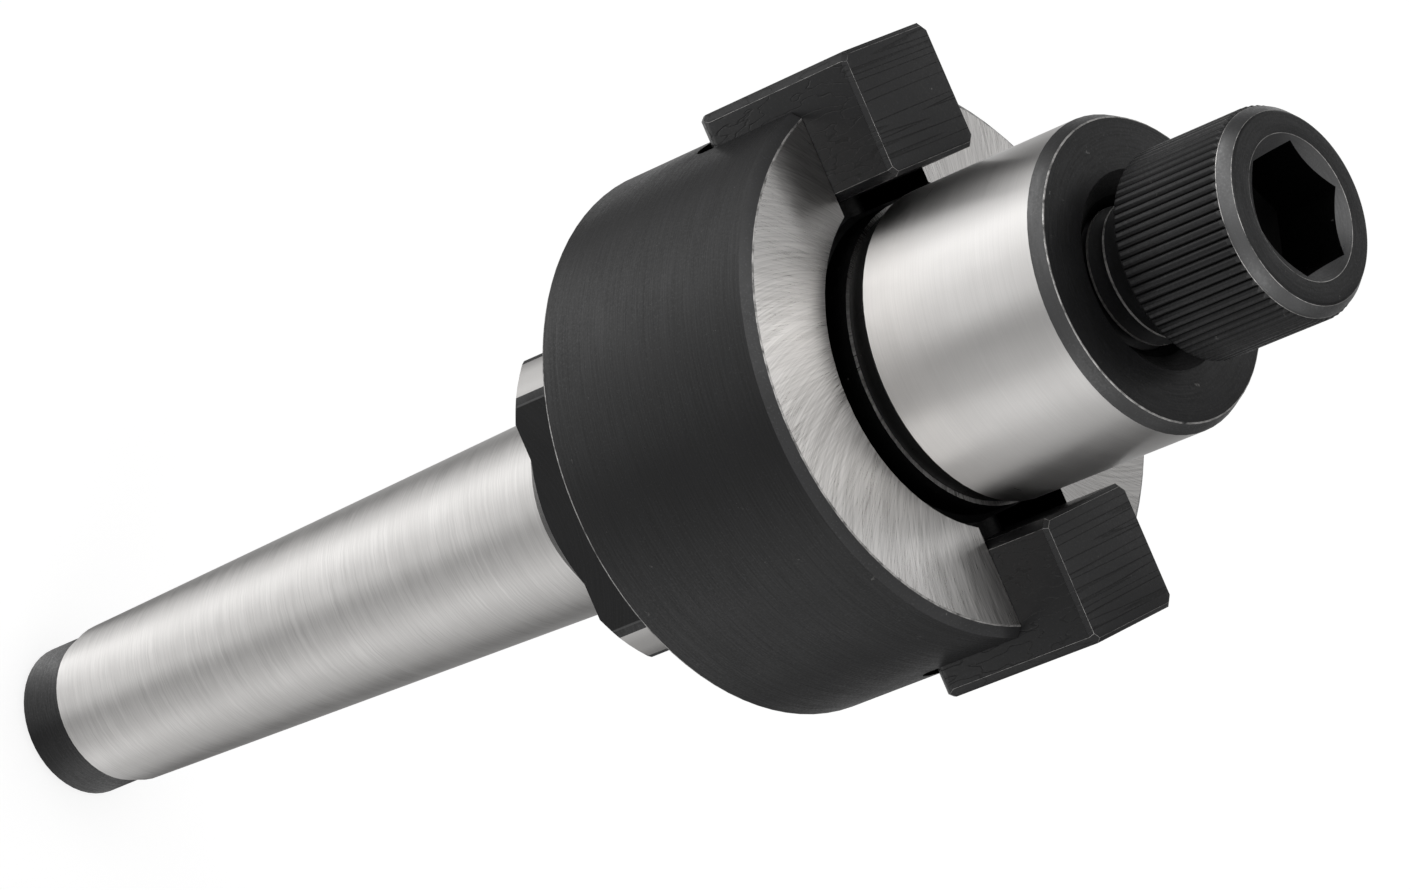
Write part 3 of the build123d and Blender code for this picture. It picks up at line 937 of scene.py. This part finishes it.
def turned_screw_tree():
    """Turn a profile about the Z axis, and work a thread, a knurl and a socket into its rows.

    The grid has a column for each step around the axis and a row for each point of the profile.
    """
    tree, given, result = new_group(
        "Turned Screw",
        "GeometryNodeTree",
        {
            "Profile": "Geometry",
            "Columns": 432,
            "Start Turn": 0.0,
            "Ridges": 72,
            "Ridge Depth": 0.3 * MM,
            "Knurl Radius": 9 * MM,
            "Half Flats": 5 * MM,
            "Mouth Radius": 6 * MM,
            "Pitch": 1.75 * MM,
            "Core Radius": 5 * MM,
            "Thread Low": 0.0,
            "Thread High": 0.1,
            "Plain Finish": "Material",
            "Knurl Finish": "Material",
            "Mouth Finish": "Material",
            "Socket Finish": "Material",
            "Crest Finish": "Material",
        },
        {"Geometry": "Geometry"},
    )
    profile = given["Profile"]
    counts = add(tree, "GeometryNodeAttributeDomainSize", {"Geometry": profile}).outputs
    rows = counts["Point Count"]
    across = calc(tree, "ADD", given["Columns"], 1)
    sides = {"Vertices X": across, "Vertices Y": rows}
    grid = add(tree, "GeometryNodeMeshGrid", sides).outputs["Mesh"]
    index = add(tree, "GeometryNodeInputIndex").outputs[0]
    column = calc(tree, "FLOOR", calc(tree, "DIVIDE", calc(tree, "ADD", index, 0.5), rows))
    row = calc(tree, "SUBTRACT", index, calc(tree, "MULTIPLY", column, rows))
    position = add(tree, "GeometryNodeInputPosition").outputs[0]
    place = sampled(tree, profile, position, row, data_type="FLOAT_VECTOR")
    radius, _, height = add(tree, "ShaderNodeSeparateXYZ", {0: place}).outputs
    share = calc(tree, "DIVIDE", column, given["Columns"])
    turn = calc(tree, "MULTIPLY", share, 2 * pi)

    thread = sampled(tree, profile, field(tree, "thread"), row)
    climbed = calc(tree, "ADD", height, calc(tree, "MULTIPLY", share, given["Pitch"]))
    below = calc(tree, "MINIMUM", climbed, given["Thread High"])
    held = calc(tree, "MAXIMUM", below, given["Thread Low"])
    from_low = calc(tree, "SUBTRACT", held, given["Thread Low"])
    from_high = calc(tree, "SUBTRACT", given["Thread High"], held)
    taper = calc(tree, "ADD", given["Core Radius"], calc(tree, "MINIMUM", from_low, from_high))
    radius = chosen(tree, thread, radius, calc(tree, "MINIMUM", radius, taper))
    height = chosen(tree, thread, height, held)

    knurl = sampled(tree, profile, field(tree, "knurl"), row)
    waves = calc(tree, "MULTIPLY", turn, calc(tree, "DIVIDE", given["Ridges"], 2))
    swing = calc(tree, "ABSOLUTE", calc(tree, "SINE", waves))
    groove = calc(tree, "POWER", calc(tree, "SUBTRACT", 1, swing), GROOVE_POWER)
    depth = calc(tree, "MULTIPLY", groove, given["Ridge Depth"])
    ridge = calc(tree, "SUBTRACT", given["Knurl Radius"], depth)
    radius = chosen(tree, knurl, radius, calc(tree, "MINIMUM", radius, ridge))

    flats = sampled(tree, profile, field(tree, "flats"), row)
    mouth = sampled(tree, profile, field(tree, "mouth"), row)
    from_corner = calc(tree, "MODULO", calc(tree, "ADD", turn, 1e-5), pi / 3)
    bearing = calc(tree, "SUBTRACT", from_corner, pi / 6)
    hexagon = calc(tree, "DIVIDE", given["Half Flats"], calc(tree, "COSINE", bearing))
    radius = chosen(tree, flats, radius, hexagon)
    rim = calc(tree, "SUBTRACT", given["Mouth Radius"], hexagon)
    sunk = calc(tree, "DIVIDE", rim, tan(MOUTH_SLOPE))
    height = calc(tree, "SUBTRACT", height, calc(tree, "MULTIPLY", sunk, mouth))

    angle = calc(tree, "ADD", turn, given["Start Turn"])
    x = calc(tree, "MULTIPLY", radius, calc(tree, "COSINE", angle))
    y = calc(tree, "MULTIPLY", radius, calc(tree, "SINE", angle))
    spot = add(tree, "ShaderNodeCombineXYZ", {0: x, 1: y, 2: height}).outputs[0]

    kept = stored(tree, grid, "row", row, "FLOAT", "POINT")
    moved = add(tree, "GeometryNodeSetPosition", {"Geometry": kept, "Position": spot}).outputs[0]
    own_row = calc(tree, "FLOOR", field(tree, "row"))
    zone = field(tree, "zone", "INT")
    zone = sampled(tree, profile, zone, own_row, data_type="INT", domain="EDGE")
    zoned = stored(tree, moved, "zone", zone, "INT", "FACE")
    merged = add(tree, "GeometryNodeMergeByDistance", {"Geometry": zoned, "Distance": NEAR / 10})
    smooth = add(tree, "GeometryNodeSetShadeSmooth", {0: merged.outputs[0]}, domain="FACE")
    bend = add(tree, "GeometryNodeInputMeshEdgeAngle").outputs[0]
    crease = calc(tree, "GREATER_THAN", bend, CREASE)
    sharp = {0: smooth.outputs[0], "Selection": crease, "Shade Smooth": False}
    creased = add(tree, "GeometryNodeSetShadeSmooth", sharp, domain="EDGE")
    shape = add(tree, "GeometryNodeRealizeInstances", {0: creased.outputs[0]}).outputs[0]
    plain = {"Geometry": shape, "Material": given["Plain Finish"]}
    shape = add(tree, "GeometryNodeSetMaterial", plain).outputs[0]
    for name in ("crest", "knurl", "mouth", "socket"):
        own = add(tree, "FunctionNodeCompare", data_type="INT", operation="EQUAL")
        ends = [s for s in own.inputs if s.enabled]
        tree.links.new(field(tree, "zone", "INT"), ends[0])
        ends[1].default_value = SCREW_ZONES.index(name)
        finish = given[f"{name.title()} Finish"]
        zone_faces = {"Geometry": shape, "Selection": own.outputs[0], "Material": finish}
        shape = add(tree, "GeometryNodeSetMaterial", zone_faces).outputs[0]
    tree.links.new(shape, result["Geometry"])
    return tree


class ARBOR_OT_screw(bpy.types.Operator):
    """Build the knurled retaining screw"""

    bl_idname = "arbor.screw"
    bl_label = "Retaining Screw"

    def execute(self, context):
        settings = context.scene.arbor_screw
        screw = plain_object("retaining_screw_profile", screw_profile(settings))
        turned = screw.modifiers.new("turned", "NODES")
        turned.node_group = turned_screw_tree()
        values = {
            "Columns": settings.columns,
            "Start Turn": settings.socket_turn,
            "Ridges": settings.ridges,
            "Ridge Depth": settings.ridge_depth,
            "Knurl Radius": SCREW_HIGH.x,
            "Half Flats": settings.across_flats / 2,
            "Mouth Radius": settings.across_flats / 2 + settings.mouth_rim,
            "Pitch": settings.pitch,
            "Core Radius": core_radius(settings),
            "Thread Low": SCREW_LOW.z,
            "Thread High": thread_high(settings),
            "Plain Finish": FINISHES["black"],
            "Knurl Finish": FINISHES["knurl"],
            # The head's chamfer is in the paler mouth finish, a painted highlight
            "Mouth Finish": FINISHES["mouth"],
            # The hexagon socket takes the painted shade finish
            "Socket Finish": FINISHES["deep"],
            # The thread's crests and the lines on the head are in the worn finish, pale partly as a
            # painted highlight
            "Crest Finish": FINISHES["worn"],
        }
        for socket in turned.node_group.interface.items_tree:
            if socket.in_out == "INPUT" and socket.name in values:
                turned[socket.identifier] = values[socket.name]
        mesh = evaluated_mesh(screw, "retaining_screw_turned")
        screw = plain_object("retaining_screw_turned", mesh)
        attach(screw, "screw")
        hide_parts("retaining_screw")
        return {"FINISHED"}


def seen_by(tree):
    """Whether the camera sees the surface, also through another, and whether a reflection does."""
    path = add(tree, "ShaderNodeLightPath").outputs
    seen = calc(tree, "MAXIMUM", path["Is Camera Ray"], path["Is Transmission Ray"])
    return seen, path["Is Glossy Ray"]


def floor_material(name, glow, matt):
    """White to the camera, banded in reflections, and still catching a shadow."""
    material = bpy.data.materials.new(name)
    material.use_nodes = True
    tree = material.node_tree
    tree.nodes.clear()
    seen, mirrored = seen_by(tree)
    level = placed(tree, "floor_bands", {"Direction": object_place(tree)})["Level"]
    white = {"Color": (1, 1, 1, 1), "Strength": calc(tree, "MULTIPLY", seen, glow)}
    white = add(tree, "ShaderNodeEmission", white)
    grey = add(tree, "ShaderNodeBsdfDiffuse", {"Color": (matt, matt, matt, 1)})
    plain = add(tree, "ShaderNodeAddShader", {0: white.outputs[0], 1: grey.outputs[0]})
    banded = add(tree, "ShaderNodeEmission", {"Color": (1, 1, 1, 1), "Strength": level})
    layers = {0: mirrored, 1: plain.outputs[0], 2: banded.outputs[0]}
    shown = add(tree, "ShaderNodeMixShader", layers)
    add(tree, "ShaderNodeOutputMaterial", {"Surface": shown.outputs[0]})
    return material


def studio_world(level, mirrored_share):
    """Even light from all around, white to the camera and banded in reflections."""
    world = bpy.data.worlds.new("studio_world")
    world.use_nodes = True
    tree = world.node_tree
    seen, mirrored = seen_by(tree)
    direction = add(tree, "ShaderNodeTexCoord").outputs["Generated"]
    bands = placed(tree, "room_bands", {"Direction": direction})["Level"]
    bands = calc(tree, "MULTIPLY", bands, mirrored_share)
    plain = scaled(tree, seen, 0.0, 1.0, level, 1.0)
    strength = add(tree, "ShaderNodeMix", {0: mirrored, 2: plain, 3: bands}).outputs[0]
    back = tree.nodes["Background"]
    back.inputs["Color"].default_value = (1, 1, 1, 1)
    tree.links.new(strength, back.inputs["Strength"])
    return world


class ARBOR_OT_studio(bpy.types.Operator):
    """Set up the floor, the soft lamps, the world and the camera"""

    bl_idname = "arbor.studio"
    bl_label = "Studio"

    def execute(self, context):
        studio = context.scene.arbor_studio
        scene = context.scene

        mesh = bpy.data.meshes.new("floor")
        half = studio.floor_size / 2
        corners = [(-half, -half, 0), (half, -half, 0), (half, half, 0), (-half, half, 0)]
        mesh.from_pydata(corners, [], [(0, 1, 2, 3)])
        mesh.materials.append(floor_material("floor_white", studio.floor_glow, studio.floor_matt))
        floor = plain_object("floor", mesh)

        scene.world = studio_world(studio.world_level, studio.mirrored_share)

        for name, place, size, power in LAMPS:
            light = bpy.data.lights.new(name, "AREA")
            light.shape = "RECTANGLE"
            light.size, light.size_y = size
            light.energy = power
            lamp = bpy.data.objects.new(name, light)
            lamp.location = place
            aim = Vector(LAMP_AIM) - Vector(place)
            lamp.rotation_euler = aim.to_track_quat("-Z", "Y").to_euler()
            scene.collection.objects.link(lamp)

        data = bpy.data.cameras.new("photo_camera")
        data.sensor_width = 36.0
        data.lens = studio.camera_lens
        data.clip_end = 20.0
        camera = bpy.data.objects.new("photo_camera", data)
        camera.location = studio.camera_place
        camera.rotation_euler = studio.camera_turn
        scene.collection.objects.link(camera)
        scene.camera = camera
        scene.view_settings.view_transform = "Standard"
        return {"FINISHED"}


class ARBOR_PT_panel(bpy.types.Panel):
    """Sizes and colours of the arbor, and its steps"""

    bl_label = "Shell Mill Arbor"
    bl_idname = "ARBOR_PT_panel"
    bl_space_type = "VIEW_3D"
    bl_region_type = "UI"
    bl_category = "Arbor"

    def draw(self, context):
        for step in STEPS:
            self.layout.operator(step.bl_idname)
        for name in SETTINGS:
            group = getattr(context.scene, name)
            box = self.layout.box()
            for key in group.__annotations__:
                box.prop(group, key)


STEPS = (
    ARBOR_OT_finishes,
    ARBOR_OT_body,
    ARBOR_OT_keys,
    ARBOR_OT_screw,
    ARBOR_OT_studio,
)
SETTINGS = {
    "arbor_steel": SteelSettings,
    "arbor_body": BodySettings,
    "arbor_keys": KeySettings,
    "arbor_screw": ScrewSettings,
    "arbor_studio": StudioSettings,
}


def register():
    """Add the settings, the steps and the panel."""
    for name, group in SETTINGS.items():
        bpy.utils.register_class(group)
        setattr(bpy.types.Scene, name, PointerProperty(type=group))
    for step in STEPS:
        bpy.utils.register_class(step)
    bpy.utils.register_class(ARBOR_PT_panel)


def unregister():
    """Take the panel, the steps and the settings away."""
    bpy.utils.unregister_class(ARBOR_PT_panel)
    for step in reversed(STEPS):
        bpy.utils.unregister_class(step)
    for name, group in SETTINGS.items():
        delattr(bpy.types.Scene, name)
        bpy.utils.unregister_class(group)


def main():
    """Run every step in order."""
    register()
    bpy.ops.arbor.finishes()
    bpy.ops.arbor.body()
    bpy.ops.arbor.keys()
    bpy.ops.arbor.screw()
    bpy.ops.arbor.studio()


if __name__ == "__main__":
    main()
